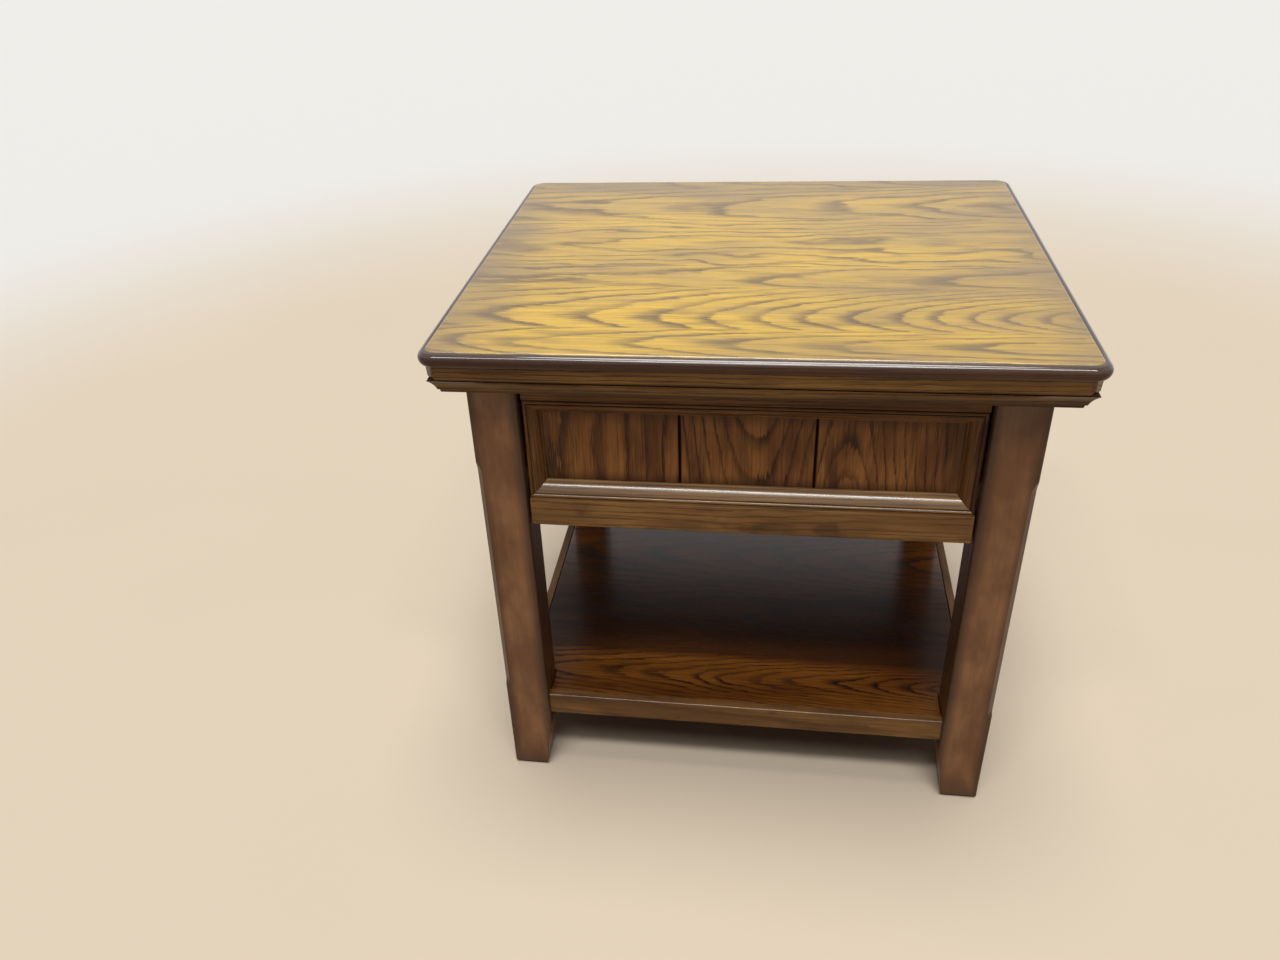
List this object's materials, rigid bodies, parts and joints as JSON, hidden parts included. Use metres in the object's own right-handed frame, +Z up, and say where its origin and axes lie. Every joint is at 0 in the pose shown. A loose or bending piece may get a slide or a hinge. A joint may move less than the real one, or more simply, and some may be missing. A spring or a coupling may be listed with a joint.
{
  "type": "side table with drawer",
  "caption": "Square wooden side table with a moulded top, one inset drawer on ball-bearing slides and an open lower shelf.",
  "frame": {"origin": "on the floor, under the middle of the top", "axes": "+X to the right seen from the front, +Y to the back, +Z up; the drawer opens towards -Y"},
  "size_m": [0.66, 0.58, 0.61],
  "materials": {
    "top_veneer": "gloss-lacquered honey oak veneer",
    "dark_moulding": "gloss-lacquered dark walnut stain",
    "leg_wood": "satin reddish brown stain",
    "drawer_veneer": "satin dark oak veneer, grain upright",
    "drawer_moulding": "gloss dark oak",
    "shelf_veneer": "gloss dark oak veneer",
    "rail_wood": "satin olive brown stain",
    "inner_wood": "plain sealed light hardwood",
    "plywood": "plain sealed plywood",
    "dowel_wood": "raw beech",
    "slide_steel": "zinc-plated rolled steel",
    "ball_steel": "polished steel",
    "screw_steel": "yellow zinc-plated steel",
    "bumper_rubber": "soft matte",
    "glide_plastic": "smooth nylon"
  },
  "bodies": {
    "frame": {"back_apron": "rail_wood", "channel_screws": "screw_steel", "corner_block_back_left": "inner_wood", "corner_block_back_right": "inner_wood", "corner_block_front_left": "inner_wood", "corner_block_front_right": "inner_wood", "cornice_back": "dark_moulding", "cornice_front": "dark_moulding", "cornice_left": "dark_moulding", "cornice_right": "dark_moulding", "drawer_bumpers": "bumper_rubber", "fascia_back": "dark_moulding", "fascia_front": "dark_moulding", "fascia_left": "dark_moulding", "fascia_right": "dark_moulding", "foot_glides": "glide_plastic", "front_rail": "inner_wood", "leg_back_left": "leg_wood", "leg_back_right": "leg_wood", "leg_front_left": "leg_wood", "leg_front_right": "leg_wood", "rail_dowels": "dowel_wood", "shelf_panel": "shelf_veneer", "shelf_rail_back": "rail_wood", "shelf_rail_front": "rail_wood", "shelf_rail_left": "rail_wood", "shelf_rail_right": "rail_wood", "side_apron_left": "rail_wood", "side_apron_right": "rail_wood", "slide_batten_left": "inner_wood", "slide_batten_right": "inner_wood", "slide_channel_left": "slide_steel", "slide_channel_right": "slide_steel", "top_board": "top_veneer", "top_nosing_back": "dark_moulding", "top_nosing_front": "dark_moulding", "top_nosing_left": "dark_moulding", "top_nosing_right": "dark_moulding", "top_screws": "screw_steel"},
    "drawer": {"drawer_back": "inner_wood", "drawer_bottom": "plywood", "drawer_bottom_rail": "rail_wood", "drawer_front_panel": "drawer_veneer", "drawer_front_screws": "screw_steel", "drawer_inner_front": "inner_wood", "drawer_moulding_bottom": "drawer_moulding", "drawer_moulding_left": "drawer_moulding", "drawer_moulding_right": "drawer_moulding", "drawer_moulding_top": "drawer_moulding", "drawer_side_left": "inner_wood", "drawer_side_right": "inner_wood", "drawer_top_rail": "drawer_moulding", "runner_screws": "screw_steel", "slide_runner_left": "slide_steel", "slide_runner_right": "slide_steel"},
    "cage_left": {"ball_cage_left": "slide_steel", "slide_balls_left": "ball_steel"},
    "cage_right": {"ball_cage_right": "slide_steel", "slide_balls_right": "ball_steel"}
  },
  "joints": [
    {"name": "drawer_slide", "type": "slide", "parent": "frame", "child": "drawer", "axis": [0, -1, 0], "range_m": [0, 0.3]},
    {"name": "cage_left_slide", "type": "slide", "parent": "frame", "child": "cage_left", "axis": [0, -1, 0], "range_m": [0, 0.15]},
    {"name": "cage_right_slide", "type": "slide", "parent": "frame", "child": "cage_right", "axis": [0, -1, 0], "range_m": [0, 0.15]}
  ],
  "couplings": [
    {"joint": "cage_left_slide", "follows": "drawer_slide", "ratio": 0.5},
    {"joint": "cage_right_slide", "follows": "drawer_slide", "ratio": 0.5}
  ]
}
